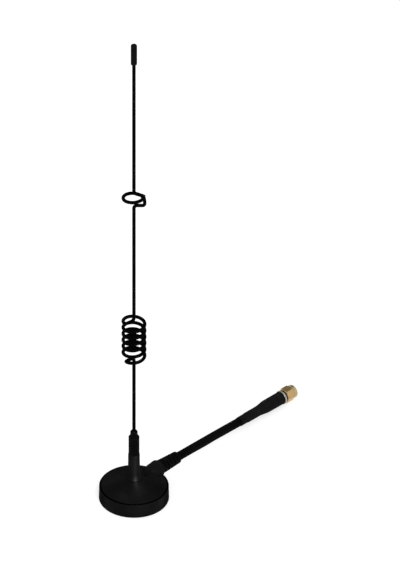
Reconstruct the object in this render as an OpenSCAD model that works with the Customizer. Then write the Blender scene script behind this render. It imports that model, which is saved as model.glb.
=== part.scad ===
// Whip antenna on a magnetic base, with a loading coil, a phasing loop and a short coaxial lead.
// Millimetres. The origin is the centre of the underside, +Z is up, and the lead leaves along +Y.

/* [Base] */
// Diameter of the housing at its foot
base_d = 39.6; // [37:0.1:46]
// Narrowing of the skirt from its foot up to its rim, on the diameter
skirt_draft = 0.4; // [0:0.1:1.6]
// Height of the rim where the skirt meets the dome
rim_h = 8.8; // [8.6:0.1:10]
// Rise of the dome from the rim to the foot of the neck
dome_rise = 5.5; // [5.2:0.1:7]
// Wall thickness of the moulded housing
wall_t = 1.8; // [1.4:0.1:2]
// Gap between the foot of the skirt and the floor
foot_gap = 0.3; // [0.1:0.1:0.6]
// Thickness of the soft pad under the magnet
pad_t = 0.8; // [0.5:0.1:1]
// Thickness of the ring magnet
magnet_t = 3; // [2:0.1:3.2]
// Diameter of the hole in the ring magnet
magnet_hole_d = 8; // [4:0.5:14]
// Sheet thickness of the steel cup around the magnet
cup_t = 1; // [0.6:0.1:1.2]
// Thickness of the ground disc
disc_t = 0.6; // [0.4:0.1:0.8]
// Width of the ledge that the cup stops against
ledge_w = 1.2; // [0.8:0.1:2]

/* [Neck] */
// Diameter of the neck where it leaves the dome
neck_foot_d = 8.4; // [7.6:0.1:9]
// Diameter of the neck at its top
neck_d = 6.6; // [6:0.1:7]
// Height of the top of the neck
neck_top = 30.8; // [28:0.1:36]
// Diameter of the feed stud
stud_d = 3.2; // [2.6:0.1:3.4]
// Diameter of the stud's threaded end
stud_thread_d = 3; // [2.4:0.1:3]
// Length of the stud's threaded end
stud_thread_len = 6.5; // [5:0.1:8]
// Diameter of the stud's head inside the dome
stud_head_d = 6.4; // [5.6:0.1:7]

/* [Whip] */
// Diameter of the spring wire
wire_d = 2; // [1.4:0.05:2.2]
// Overall height, from the floor to the tip
overall_h = 310; // [280:1:360]
// Diameter of the fluted grip of the ferrule
grip_d = 6.2; // [5.4:0.1:6.6]
// Length of the fluted grip
grip_len = 12.1; // [11:0.1:16]
// Number of flutes round the grip
flute_count = 12; // [8:1:16]
// Diameter of the ferrule's collar
collar_d = 4.2; // [3.2:0.1:4.6]
// Length of the ferrule's collar
collar_len = 4; // [3:0.1:6]
// Diameter of the tip cap
cap_d = 3.5; // [2.8:0.1:4]
// Length of the tip cap
cap_len = 13.2; // [8:0.1:20]

/* [Coil and loop] */
// Radius of the wire's centreline in the coil
coil_r = 6.05; // [5:0.05:9]
// Height of the coil's lower link
coil_z = 97; // [70:1:120]
// Turns of the loading coil
coil_turns = 6; // [3:1:9]
// Rise of the coil in one turn
coil_pitch = 4.28; // [3:0.01:6]
// Direction in which the coil's links leave the axis, in degrees from +X
coil_angle = 261; // [0:1:360]
// Radius of the wire's centreline in the phasing loop
loop_r = 6; // [5:0.05:9]
// Height of the loop's lower link
loop_z = 201.3; // [180:0.1:220]
// Straight rise from the loop's lower link to its turn
loop_step = 3; // [2.8:0.1:5]
// Rise of the loop in its turn
loop_pitch = 4.2; // [3:0.1:6]
// Direction in which the loop's links leave the axis, in degrees from +X
loop_angle = 45; // [0:1:360]

/* [Lead] */
// Diameter of the coaxial lead
lead_d = 5; // [4.6:0.1:5]
// Diameter of the lead's inner core
core_d = 2.9; // [2.4:0.1:2.9]
// Diameter of the lead's centre conductor
conductor_d = 0.9; // [0.6:0.1:1.2]
// Diameter of the rounded boss that the lead leaves through
boss_d = 9.3; // [9:0.1:10]
// Diameter of the boss at its outer end
boss_end_d = 10; // [9.8:0.1:11]
// Length of the boss outside its rounded inner end
boss_len = 5; // [4.6:0.1:6]
// Length of the ribbed strain relief outside the boss
relief_len = 14.3; // [12:0.1:20]
// Diameter of the strain relief at the boss
relief_d = 8.4; // [7.6:0.1:8.8]
// Diameter of the strain relief at its free end
relief_end_d = 7.1; // [6.6:0.1:7.4]
// Number of ring grooves in the strain relief
relief_grooves = 5; // [3:1:6]
// Depth of a ring groove
groove_depth = 0.7; // [0.4:0.1:0.8]

/* [Plug] */
// Diameter of the shrunk sleeve on the lead
sleeve_d = 5.9; // [5.8:0.1:6.4]
// Diameter of the sleeve's thin end, on the lead
sleeve_end_d = 5.5; // [5.4:0.1:5.8]
// Diameter of the shrunk sleeve over the crimped ferrule
sleeve_wide_d = 7.5; // [7.3:0.1:7.8]
// Length of the shrunk sleeve
sleeve_len = 33; // [26:0.1:40]
// Diameter of the crimped ferrule
crimp_d = 6.3; // [6.1:0.1:6.4]
// Length of the crimped ferrule
crimp_len = 11.6; // [10.2:0.1:14]
// Diameter of the flange behind the coupling nut
flange_d = 8.2; // [7.8:0.1:8.2]
// Thickness of the flange
flange_t = 2.4; // [1.6:0.1:3]
// Width of the coupling nut across its flats
nut_af = 8; // [7.8:0.1:8]
// Length of the coupling nut's hexagon
nut_hex_len = 4.9; // [4.6:0.1:6]
// Length of the coupling nut's round front
nut_nose_len = 2.6; // [2:0.1:3]
// Diameter of the coupling nut's threaded mouth
mouth_d = 5.8; // [5.7:0.05:6]
// Diameter of the connector body's hub inside the nut
hub_d = 5; // [4.8:0.1:5.1]
// Outer diameter of the contact tube
tube_d = 4.6; // [4.4:0.1:4.7]
// Wall thickness of the contact tube
tube_wall = 0.25; // [0.2:0.05:0.35]
// Diameter of the centre pin
pin_d = 0.92; // [0.8:0.02:1]

/* [Hidden] */
$fn = 64;

// Clearances: a glued or pressed seat, a loose seat, and the nut that turns on its hub
seat_gap = 0.05;
loose_gap = 0.1;
spin_gap = 0.06;
// Overlap that lets one cut break cleanly through another
cut = 0.5;
// Length of the small chamfers on turned and moulded edges
edge = 0.4;

// Base
rim_r = (base_d - skirt_draft) / 2;
cavity_r = rim_r - wall_t;
upper_cavity_r = cavity_r - ledge_w;
cup_r = cavity_r - loose_gap;
magnet_top = pad_t + magnet_t;
cup_top = magnet_top + cup_t;
disc_top = cup_top + disc_t;
neck_foot_r = neck_foot_d / 2;
neck_foot_z = rim_h + dome_rise;
ceiling_z = neck_foot_z - wall_t;
// Share of the dome's rise that is a plain cone: the rest curves up towards the neck
dome_cone = 0.75;
dome_steps = 20;
flare_h = 2.2;
flare_share = 0.3;

// Feed stud and what it stands on
washer_t = 1;
stud_head_t = 1.2;
post_r = 1;
post_z = disc_top + washer_t + loose_gap;
stud_top = neck_top + stud_thread_len;

// Whip ferrule, wire and cap
wire_r = wire_d / 2;
grip_top = neck_top + grip_len;
ferrule_top = grip_top + collar_len;
thread_well = stud_thread_len + edge;
// Solid length between the ferrule's two holes, and of the cap above the wire
ferrule_web = 1.5;
cap_web = 2;
rod_z = neck_top + thread_well + ferrule_web;
rod_top = overall_h - cap_web;
flute_r = 0.5;
flute_depth = 0.3;
flute_margin = 1.4;
wire_sides = 12;
turn_steps = 30;
bend_steps = 5;
// How far before its corner a bend starts: on the axis, where a link meets a turn, and at the loop's step
bend_len = 2;
turn_bend_len = 1.45 * wire_r;
step_bend_len = loop_step / 2;
// Shares of a turn that the bends at its two ends take up
coil_lead = 0.055;
loop_start = 0.05;
loop_end = 0.925;
loop_last = 0.975;
loop_rise = 0.9;

// Boss that the lead leaves through
boss_r = boss_d / 2;
boss_end_r = boss_end_d / 2;
boss_end = base_d / 2;
boss_round = 1;
boss_y = boss_end - boss_len;
spigot_len = 2.2;
spigot_wall = 0.8;
spigot_r = lead_d / 2 + spigot_wall;
// Ring grooves of the strain relief: place of the first and width, as shares of their pitch, and the
// share of the width that a flank takes
groove_start = 0.62;
groove_share = 0.4;
groove_flank = 0.2;

// Route of the lead, as x, distance out from the boss's face, and height: straight through the
// strain relief, then down to the height of the plug
lead_shape = [
    [0, -3.7, 11], [0, 5.3, 11], [0, 14.3, 11], [-0.2, 20.8, 10.8], [-0.9, 27.5, 10.1],
    [-1.8, 34.4, 9.1], [-2.9, 41.5, 8], [-4.1, 48.7, 6.8], [-5.2, 55.7, 5.6], [-6.1, 62.1, 4.6],
    [-6.45, 66.3, 4.18], [-6.5, 69.3, 4.1], [-6.5, 77.3, 4.1], [-6.5, 85.3, 4.1], [-6.5, 93.7, 4.1]
];
lead_route = [for (p = lead_shape) [p.x, boss_end + p.y, p.z]];
lead_sides = 12;
exit_z = lead_route[0].z;
jacket_y = lead_route[0].y;

// Stripped end in the base. Points are two shares: of the way in from the jacket's end to the
// core's end, and of the way up from where the core or the braid lies to the lead's axis
core_clear = 1.4;
core_reach = jacket_y - stud_head_d / 2 - core_clear;
core_low = disc_top + core_d / 2 + loose_gap;
core_shape = [
    [0.03, 1], [0.07, 1], [0.14, 0.92], [0.22, 0.74], [0.31, 0.52], [0.43, 0.28], [0.55, 0.12],
    [0.67, 0.03], [0.8, 0], [1, 0]
];
braid_tail_r = 0.45;
braid_low = disc_top + braid_tail_r + seat_gap;
braid_shape = [
    [0.04, 0.53], [0.06, 0.46], [0.08, 0.36], [0.105, 0.2], [0.15, 0.07], [0.22, 0.01], [0.3, 0]
];
// Pocket for the core where it drops to the ground disc: its roof, over the core's centreline
pocket_gap = 0.25;
pocket_w = core_d + 2 * pocket_gap;
pocket_shape = [[-0.02, 1], [0.16, 1], [0.38, 0.64], [0.62, 0.24]];
pocket_rise = core_d / 2 + pocket_gap;
core_sides = 10;

// Plug: everything on it is placed from the end of the lead
lead_end = lead_route[len(lead_route) - 1];
stem_len = 9.5;
flange_y = lead_end.y + stem_len;
hub_y = flange_y + flange_t;
nut_y = hub_y + loose_gap;
nut_len = nut_hex_len + nut_nose_len;
crimp_y = flange_y - loose_gap - crimp_len;
sleeve_y = flange_y - 2 * loose_gap - sleeve_len;
// Sleeve: lengths of its thin end, of the step to its full width, of its flare and of its grip
sleeve_thin = 4.4;
sleeve_step = 2;
sleeve_flare = 7;
sleeve_lap = 1;
ease_steps = 10;
stem_r = 1.85;
// Ring that keeps the nut on: its place, width, depth in the hub and height above it, and its slot
ring_y = 1.2;
ring_w = 0.6;
ring_depth = 0.3;
ring_proud = 0.25;
ring_inner_r = hub_d / 2 - ring_depth;
ring_outer_r = hub_d / 2 + ring_proud;
ring_split = 0.8;
// Lengths inside the plug: from the hub's end to the hexagon's, tube past the hub, pin short of the
// mouth, and core short of the pin's cup
shoulder_len = 1.6;
tube_proud = 2.4;
pin_short = 0.8;
hub_len = nut_hex_len - shoulder_len;
tube_len = hub_len + tube_proud;
gasket_t = 0.7;
insulator_back = 2;
pin_cup_d = 1.5;
pin_cup_len = 0.5;
core_short = 0.5;
pin_reach = nut_len - pin_short;

function unit(v) = v / norm(v);
function polar(r, a, z) = [r * cos(a), r * sin(a), z];
function on_axis(z) = [0, 0, z];
function tangent(path, i) = unit(path[min(i + 1, len(path) - 1)] - path[max(i - 1, 0)]);
function square_to(side, t) = unit(side - (side * t) * t);

// Side directions that are carried along a path without twisting about it
function carried_sides(path, first) = [
    for (i = 0, s = square_to(first, tangent(path, 0)); i < len(path);
         i = i + 1, s = square_to(s, tangent(path, i)))
        s
];

// Points of a bend that rounds corner b between a and c, starting reach before it
function bend(a, b, c, reach) =
    let (p = b + unit(a - b) * reach, q = b + unit(c - b) * reach)
    [for (i = [0:bend_steps]) let (t = i / bend_steps)
        (1 - t) * (1 - t) * p + 2 * t * (1 - t) * b + t * t * q];

// Height of the dome's outside at radius r
function dome_z(r) =
    let (u = (rim_r - r) / (rim_r - neck_foot_r))
    rim_h + dome_rise * (dome_cone * u + (1 - dome_cone) * u * u);

// Points of a smooth step in a turned outline, from radius r0 at y0 to radius r1 at y1
function eased(r0, y0, r1, y1) = [
    for (i = [0:ease_steps]) let (t = i / ease_steps)
        [r0 + (r1 - r0) * (1 - cos(180 * t)) / 2, y0 + (y1 - y0) * t]
];

// Points of the stripped end, in the plane of the lead
function stripped(shape, low) = [
    for (p = shape) [0, jacket_y - p[0] * core_reach, low + p[1] * (exit_z - low)]
];

function coil_point(t) = polar(coil_r, coil_angle + 360 * t, coil_z + coil_pitch * t);
function loop_point(t) = polar(loop_r, loop_angle + 360 * t, loop_z + loop_step + loop_pitch * t);

// Points of a coil from turn t0 to turn t1
function turn_times(t0, t1) =
    let (n = ceil((t1 - t0) * turn_steps))
    [for (i = [0:n]) t0 + (t1 - t0) * i / n];

function coil_path() =
    let (low = on_axis(coil_z), high = on_axis(coil_z + coil_pitch * coil_turns))
    concat(
        bend(on_axis(rod_z), low, coil_point(0), bend_len),
        bend(low, coil_point(0), coil_point(coil_lead), turn_bend_len),
        [for (t = turn_times(coil_lead, coil_turns - coil_lead)) coil_point(t)],
        bend(coil_point(coil_turns - coil_lead), coil_point(coil_turns), high, turn_bend_len),
        bend(coil_point(coil_turns), high, on_axis(rod_top), bend_len)
    );

function loop_path() =
    let (
        low = on_axis(loop_z),
        foot = polar(loop_r, loop_angle, loop_z),
        high = on_axis(loop_z + loop_step + loop_pitch + loop_rise),
        last = loop_point(loop_last)
    )
    concat(
        bend(on_axis(rod_z), low, foot, bend_len),
        bend(low, foot, loop_point(0), step_bend_len),
        bend(foot, loop_point(0), loop_point(loop_start), step_bend_len),
        [for (t = turn_times(loop_start, loop_end)) loop_point(t)],
        bend(loop_point(loop_end), last, high, turn_bend_len),
        bend(last, high, on_axis(rod_top), bend_len)
    );

// Round bar swept along a path, with flat ends
module swept(path, r, sides, first) {
    side = carried_sides(path, first);
    rings = len(path);
    points = [
        for (i = [0:rings - 1]) let (t = tangent(path, i), up = cross(t, side[i]))
            for (k = [0:sides - 1]) let (a = 360 * k / sides)
                path[i] + r * (cos(a) * side[i] + sin(a) * up)
    ];
    skin = [
        for (i = [0:rings - 2]) for (k = [0:sides - 1])
            let (a = i * sides + k, b = i * sides + (k + 1) % sides)
                each [[a, a + sides, b + sides], [a, b + sides, b]]
    ];
    start_cap = [for (k = [0:sides - 1]) k];
    end_cap = [for (k = [sides - 1:-1:0]) (rings - 1) * sides + k];
    polyhedron(points = points, faces = concat([start_cap], skin, [end_cap]), convexity = 10);
}

// Turns what is drawn along +Z to run along +Y, on the axis of the lead's exit or of the plug
module on_exit(y) { translate([0, y, exit_z]) rotate([-90, 0, 0]) children(); }
module on_plug(y) { translate([lead_end.x, y, lead_end.z]) rotate([-90, 0, 0]) children(); }

module tube(r_out, r_in, h) {
    difference() {
        cylinder(r = r_out, h = h);
        translate([0, 0, -cut]) cylinder(r = r_in, h = h + 2 * cut);
    }
}

// Outside of the housing: drafted skirt, crisp rim, dome that steepens, and the flared neck
module housing_body() {
    dome = [
        for (i = [0:dome_steps])
            let (r = rim_r + (neck_foot_r - rim_r) * i / dome_steps)
                [r, dome_z(r)]
    ];
    flare_r = neck_d / 2 + (neck_foot_r - neck_d / 2) * flare_share;
    rotate_extrude() polygon(concat(
        [[0, foot_gap], [base_d / 2 - edge, foot_gap], [base_d / 2, foot_gap + edge]],
        dome,
        [[flare_r, neck_foot_z + flare_h], [neck_d / 2 + loose_gap, neck_foot_z + 2 * flare_h],
         [neck_d / 2, neck_top - edge], [neck_d / 2 - edge, neck_top], [0, neck_top]]
    ));
}

// Room inside the housing: the seat of the cup, the ledge above it and the space under the dome
module housing_room() {
    roof = [
        for (i = [0:dome_steps])
            let (r = upper_cavity_r + (neck_foot_r - upper_cavity_r) * i / dome_steps)
                [r, dome_z(r) - wall_t]
    ];
    rotate_extrude() polygon(concat(
        [[0, foot_gap - cut], [cavity_r, foot_gap - cut], [cavity_r, cup_top],
         [upper_cavity_r, cup_top]],
        roof,
        [[0, ceiling_z]]
    ));
}

// Boss that the lead leaves through: a round hump with a rounded inner end and a rounded shoulder
module exit_boss() {
    inner_end = [for (a = [-90:9:0]) [boss_r * cos(a), boss_y + boss_r * sin(a)]];
    shoulder = [
        for (a = [0:15:90])
            [boss_end_r - boss_round * (1 - cos(a)), boss_end - boss_round * (1 - sin(a))]
    ];
    on_exit(0) rotate_extrude() polygon(concat(inner_end, shoulder, [[0, boss_end]]));
}

module exit_bore() {
    on_exit(jacket_y - loose_gap) cylinder(r = lead_d / 2 + loose_gap, h = boss_end - jacket_y + cut);
    on_exit(boss_end - spigot_len) cylinder(r = spigot_r + seat_gap, h = spigot_len + 2 * cut);
    roof = [for (p = stripped(pocket_shape, core_low)) [p.y, p.z + pocket_rise]];
    rotate([90, 0, 90]) linear_extrude(height = pocket_w, center = true)
        polygon(concat(roof, [[roof[len(roof) - 1][0], disc_top], [roof[0][0], disc_top]]));
}

module base_housing() {
    color([0.16, 0.16, 0.17]) difference() {
        union() {
            housing_body();
            exit_boss();
        }
        housing_room();
        exit_bore();
        translate([0, 0, ceiling_z - cut])
            cylinder(d = stud_d + 2 * seat_gap, h = neck_top - ceiling_z + 2 * cut);
    }
}

module pole_cup() {
    color([0.62, 0.63, 0.65]) difference() {
        translate([0, 0, pad_t]) cylinder(r = cup_r, h = cup_top - pad_t);
        translate([0, 0, pad_t - cut]) cylinder(r = cup_r - cup_t, h = magnet_t + cut);
    }
}

module ring_magnet() {
    color([0.3, 0.3, 0.32]) translate([0, 0, pad_t])
        tube(cup_r - cup_t - loose_gap, magnet_hole_d / 2, magnet_t);
}

module base_pad() {
    color([0.1, 0.1, 0.1]) rotate_extrude() polygon([
        [0, 0], [cup_r - edge / 2, 0], [cup_r, edge / 2], [cup_r, pad_t], [0, pad_t]
    ]);
}

module ground_disc() {
    color([0.8, 0.65, 0.35]) translate([0, 0, cup_top])
        cylinder(r = upper_cavity_r - loose_gap, h = disc_t);
}

module insulating_washer() {
    color([0.9, 0.9, 0.86]) translate([0, 0, disc_top]) cylinder(r = stud_head_d / 2, h = washer_t);
}

// Stud that feeds the whip: solder post, head under the neck, shank and threaded end
module feed_stud() {
    color([0.8, 0.65, 0.35]) rotate_extrude() polygon([
        [0, post_z], [post_r, post_z], [post_r, ceiling_z - stud_head_t],
        [stud_head_d / 2, ceiling_z - stud_head_t], [stud_head_d / 2, ceiling_z],
        [stud_d / 2, ceiling_z], [stud_d / 2, neck_top], [stud_thread_d / 2, neck_top + loose_gap],
        [stud_thread_d / 2, stud_top - edge], [stud_thread_d / 2 - edge, stud_top], [0, stud_top]
    ]);
}

// Turned ferrule that screws onto the stud: fluted grip, chamfered collar, threaded well and rod hole
module whip_ferrule() {
    grip_r = grip_d / 2;
    flute_z = neck_top + flute_margin;
    flute_len = grip_len - 2 * flute_margin;
    color([0.2, 0.2, 0.21]) difference() {
        rotate_extrude() polygon([
            [0, neck_top], [grip_r - edge / 2, neck_top], [grip_r, neck_top + edge / 2],
            [grip_r, grip_top - edge], [grip_r - edge, grip_top], [collar_d / 2, grip_top],
            [collar_d / 2, ferrule_top - 2 * edge], [collar_d / 2 - 2 * edge, ferrule_top],
            [0, ferrule_top]
        ]);
        translate([0, 0, neck_top - cut])
            cylinder(d = stud_d + 2 * seat_gap, h = thread_well + cut);
        translate([0, 0, rod_z - seat_gap])
            cylinder(r = wire_r + seat_gap, h = ferrule_top - rod_z + cut);
        for (i = [0:flute_count - 1]) rotate([0, 0, 360 * i / flute_count])
            translate([grip_r + flute_r - flute_depth, 0, flute_z]) cylinder(r = flute_r, h = flute_len);
    }
}

// One length of spring wire: rod, loading coil, rod, phasing loop and upper rod
module whip_wire() {
    color([0.13, 0.13, 0.14]) swept(
        concat([on_axis(rod_z)], coil_path(), loop_path(), [on_axis(rod_top)]),
        wire_r, wire_sides, [1, 0, 0]
    );
}

module tip_cap() {
    cap_r = cap_d / 2;
    cap_z = overall_h - cap_len;
    color([0.2, 0.2, 0.21]) difference() {
        rotate_extrude() polygon(concat(
            [[0, cap_z], [cap_r - edge, cap_z], [cap_r, cap_z + 2 * edge]],
            [for (a = [0:15:75]) [cap_r - 2 * edge * (1 - cos(a)), overall_h - 2 * edge * (1 - sin(a))]],
            [[cap_r - 2 * edge, overall_h], [0, overall_h]]
        ));
        translate([0, 0, cap_z - cut])
            cylinder(r = wire_r + seat_gap, h = rod_top - cap_z + cut + seat_gap);
    }
}

// Ribbed sleeve round the lead, with a spigot that is held in the boss
module strain_relief() {
    pitch = relief_len / (relief_grooves + 1);
    groove_w = pitch * groove_share;
    flank = groove_w * groove_flank;
    function relief_r(y) = (relief_d + (relief_end_d - relief_d) * y / relief_len) / 2;
    ribs = [
        for (i = [0:relief_grooves - 1]) let (y = pitch * (i + groove_start))
            each [
                [relief_r(y), y], [relief_r(y) - groove_depth, y + flank],
                [relief_r(y) - groove_depth, y + groove_w - flank], [relief_r(y + groove_w), y + groove_w]
            ]
    ];
    color([0.15, 0.15, 0.16]) difference() {
        on_exit(boss_end) rotate_extrude() polygon(concat(
            [[0, seat_gap - spigot_len], [spigot_r, seat_gap - spigot_len], [spigot_r, 0],
             [relief_d / 2 - edge / 2, 0], [relief_d / 2, edge / 2]],
            ribs,
            [[relief_end_d / 2, relief_len - edge], [relief_end_d / 2 - edge, relief_len],
             [0, relief_len]]
        ));
        on_exit(boss_end - spigot_len - cut)
            cylinder(r = lead_d / 2 + seat_gap, h = spigot_len + relief_len + 2 * cut);
    }
}

module cable_jacket() {
    color([0.08, 0.08, 0.09]) swept(lead_route, lead_d / 2, lead_sides, [1, 0, 0]);
}

module braid_tail() {
    color([0.7, 0.7, 0.72])
        swept(stripped(braid_shape, braid_low), braid_tail_r, core_sides, [1, 0, 0]);
}

module core_tail() {
    color([0.92, 0.92, 0.9])
        swept(stripped(core_shape, core_low), core_d / 2, core_sides, [1, 0, 0]);
}

module conductor_tail() {
    core = stripped(core_shape, core_low);
    core_end = core[len(core) - 1];
    color([0.85, 0.5, 0.3]) translate(core_end) rotate([90, 0, 0])
        cylinder(d = conductor_d, h = core_end.y - post_r - seat_gap);
}

// Shrunk sleeve that grips the lead and the crimped ferrule
module shrink_sleeve() {
    wide_y = sleeve_len - crimp_len - loose_gap;
    flare_y = wide_y - sleeve_flare;
    color([0.12, 0.12, 0.13]) on_plug(sleeve_y) rotate_extrude() polygon(concat(
        [[lead_d / 2 + seat_gap, 0], [sleeve_end_d / 2, 0]],
        eased(sleeve_end_d / 2, sleeve_thin, sleeve_d / 2, sleeve_thin + sleeve_step),
        eased(sleeve_d / 2, flare_y, sleeve_wide_d / 2, wide_y + sleeve_lap),
        [[sleeve_wide_d / 2, sleeve_len - edge], [sleeve_wide_d / 2 - edge / 2, sleeve_len],
         [crimp_d / 2 + seat_gap, sleeve_len], [crimp_d / 2 + seat_gap, wide_y],
         [lead_d / 2 + seat_gap, flare_y]]
    ));
}

module crimp_ferrule() {
    color([0.85, 0.7, 0.4]) on_plug(crimp_y) tube(crimp_d / 2, lead_d / 2 + seat_gap, crimp_len);
}

// Braid folded back over the stem, under the crimped ferrule
module plug_braid() {
    color([0.7, 0.7, 0.72]) on_plug(lead_end.y + seat_gap)
        tube(lead_d / 2, stem_r + seat_gap, stem_len - 2 * seat_gap);
}

module plug_core() {
    color([0.92, 0.92, 0.9]) on_plug(lead_end.y + seat_gap)
        cylinder(d = core_d, h = stem_len + insulator_back - core_short);
}

// Turned connector body: crimp stem, flange, hub with the ring's groove, and contact tube
module connector_body() {
    bore_r = core_d / 2 + seat_gap;
    tube_bore = tube_d / 2 - tube_wall;
    hub_z = stem_len + flange_t;
    groove_r = ring_inner_r - seat_gap;
    groove_z = hub_z + ring_y - seat_gap;
    groove_w = ring_w + 2 * seat_gap;
    insulator_z = stem_len + insulator_back;
    color([0.86, 0.82, 0.7]) on_plug(lead_end.y) rotate_extrude() polygon([
        [bore_r, seat_gap], [stem_r, seat_gap], [stem_r, stem_len], [flange_d / 2 - edge, stem_len],
        [flange_d / 2, stem_len + edge], [flange_d / 2, hub_z - edge], [flange_d / 2 - edge, hub_z],
        [hub_d / 2, hub_z], [hub_d / 2, groove_z], [groove_r, groove_z], [groove_r, groove_z + groove_w],
        [hub_d / 2, groove_z + groove_w], [hub_d / 2, hub_z + hub_len], [tube_d / 2, hub_z + hub_len],
        [tube_d / 2, hub_z + tube_len - edge / 2], [tube_d / 2 - tube_wall / 2, hub_z + tube_len],
        [tube_bore, hub_z + tube_len], [tube_bore, insulator_z], [bore_r, insulator_z]
    ]);
}

// Split ring that keeps the nut on the hub
module retaining_ring() {
    color([0.75, 0.6, 0.35]) on_plug(hub_y + ring_y) difference() {
        tube(ring_outer_r, ring_inner_r, ring_w);
        translate([0, -ring_split / 2, -cut]) cube([ring_outer_r + cut, ring_split, ring_w + 2 * cut]);
    }
}

module face_gasket() {
    color([0.75, 0.25, 0.2]) on_plug(hub_y + hub_len)
        tube(mouth_d / 2 - loose_gap, tube_d / 2 + seat_gap, gasket_t);
}

module pin_insulator() {
    back_y = flange_y + insulator_back;
    face_y = hub_y + hub_len + gasket_t;
    color([0.95, 0.95, 0.93]) on_plug(back_y) difference() {
        cylinder(r = tube_d / 2 - tube_wall - seat_gap / 2, h = face_y - back_y);
        translate([0, 0, -cut]) cylinder(d = pin_d + seat_gap, h = face_y - back_y + 2 * cut);
        translate([0, 0, -cut]) cylinder(d = pin_cup_d + seat_gap, h = cut + pin_cup_len + seat_gap);
    }
}

// Centre pin: solder cup inside the insulator, and a tapered tip
module centre_pin() {
    pin_len = flange_t - insulator_back + pin_reach;
    color([0.9, 0.72, 0.35]) on_plug(flange_y + insulator_back) rotate_extrude() polygon([
        [0, 0], [pin_cup_d / 2, 0], [pin_cup_d / 2, pin_cup_len], [pin_d / 2, pin_cup_len],
        [pin_d / 2, pin_len - edge], [pin_d / 4, pin_len], [0, pin_len]
    ]);
}

// Coupling nut: chamfered hexagon with two flats level, round nose, ring groove and threaded mouth
module coupling_nut() {
    corner_r = nut_af / 2 / cos(30);
    nose_r = nut_af / 2 - loose_gap;
    rear_bore_r = hub_d / 2 + spin_gap;
    groove_r = ring_outer_r + loose_gap;
    groove_z = ring_y - loose_gap - seat_gap;
    mouth_z = hub_len - loose_gap - seat_gap;
    color([0.86, 0.66, 0.32]) on_plug(nut_y) difference() {
        union() {
            intersection() {
                cylinder(r = corner_r, h = nut_hex_len, $fn = 6);
                rotate_extrude() polygon([
                    [0, 0], [nut_af / 2, 0], [corner_r, edge], [corner_r, nut_hex_len - edge],
                    [nut_af / 2, nut_hex_len], [0, nut_hex_len]
                ]);
            }
            rotate_extrude() polygon([
                [0, nut_hex_len - cut], [nose_r, nut_hex_len - cut], [nose_r, nut_len - 2 * edge],
                [nose_r - edge, nut_len], [0, nut_len]
            ]);
        }
        translate([0, 0, -cut]) cylinder(r = rear_bore_r, h = nut_len + 2 * cut);
        translate([0, 0, groove_z]) cylinder(r = groove_r, h = ring_w + 2 * loose_gap);
        translate([0, 0, mouth_z]) cylinder(d = mouth_d, h = nut_len);
        translate([0, 0, nut_len - edge])
            cylinder(d1 = mouth_d, d2 = mouth_d + 4 * edge, h = 2 * edge);
    }
}

base_housing();
pole_cup();
ring_magnet();
base_pad();
ground_disc();
insulating_washer();
feed_stud();
whip_ferrule();
whip_wire();
tip_cap();
strain_relief();
cable_jacket();
braid_tail();
core_tail();
conductor_tail();
shrink_sleeve();
crimp_ferrule();
plug_braid();
plug_core();
connector_body();
retaining_ring();
face_gasket();
pin_insulator();
centre_pin();
coupling_nut();
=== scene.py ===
import bmesh
import bpy
import math
from mathutils import Matrix, Vector


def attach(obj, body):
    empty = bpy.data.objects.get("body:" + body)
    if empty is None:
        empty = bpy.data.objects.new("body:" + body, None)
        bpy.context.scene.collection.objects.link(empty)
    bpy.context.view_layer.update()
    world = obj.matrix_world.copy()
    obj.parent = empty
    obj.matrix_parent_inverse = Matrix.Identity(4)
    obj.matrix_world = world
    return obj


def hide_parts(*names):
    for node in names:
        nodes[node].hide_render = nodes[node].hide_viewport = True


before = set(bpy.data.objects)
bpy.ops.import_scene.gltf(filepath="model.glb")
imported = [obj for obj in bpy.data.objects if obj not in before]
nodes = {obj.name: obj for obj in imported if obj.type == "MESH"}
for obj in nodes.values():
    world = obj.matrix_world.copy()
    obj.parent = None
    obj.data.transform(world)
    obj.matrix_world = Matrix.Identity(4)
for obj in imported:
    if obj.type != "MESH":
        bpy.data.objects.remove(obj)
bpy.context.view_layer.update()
mm = 0.001
scene = bpy.context.scene
print("frame loaded:", len(nodes), "nodes")


# shapes shared by several pieces

def addMesh(name, points, faces, finish, body, hideNodes=(), sharpAngle=40):
    mesh = bpy.data.meshes.new(name)
    mesh.from_pydata([tuple(p) for p in points], [], faces)
    mesh.validate()
    shell = bmesh.new()
    shell.from_mesh(mesh)
    bmesh.ops.recalc_face_normals(shell, faces=shell.faces)
    shell.to_mesh(mesh)
    shell.free()
    mesh.shade_smooth()
    mesh.set_sharp_from_angle(angle=math.radians(sharpAngle))
    mesh.materials.append(finish)
    piece = bpy.data.objects.new(name, mesh)
    scene.collection.objects.link(piece)
    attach(piece, body)
    if hideNodes:
        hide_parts(*hideNodes)
    return piece


def ringFaces(rings, sides, closedEnds=(False, False), loop=False):
    # quads between rings of points, with flat ends where they're asked for
    faces = []
    last = rings if loop else rings - 1
    for i in range(last):
        a, b = i * sides, ((i + 1) % rings) * sides
        for k in range(sides):
            n = (k + 1) % sides
            faces.append((a + k, a + n, b + n, b + k))
    if closedEnds[0]:
        faces.append(tuple(range(sides))[::-1])
    if closedEnds[1]:
        faces.append(tuple((rings - 1) * sides + k for k in range(sides)))
    return faces


def turnedAboutZ(profile, sides, radiusAt=None):
    # profile is a list of (radius, height) in millimetres; radiusAt may change the radius with the angle
    points = []
    for i, (r, z) in enumerate(profile):
        for k in range(sides):
            a = 2 * math.pi * k / sides
            rr = radiusAt(r, z, a, i) if radiusAt else r
            points.append((rr * math.cos(a) * mm, rr * math.sin(a) * mm, z * mm))
    return points


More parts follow.
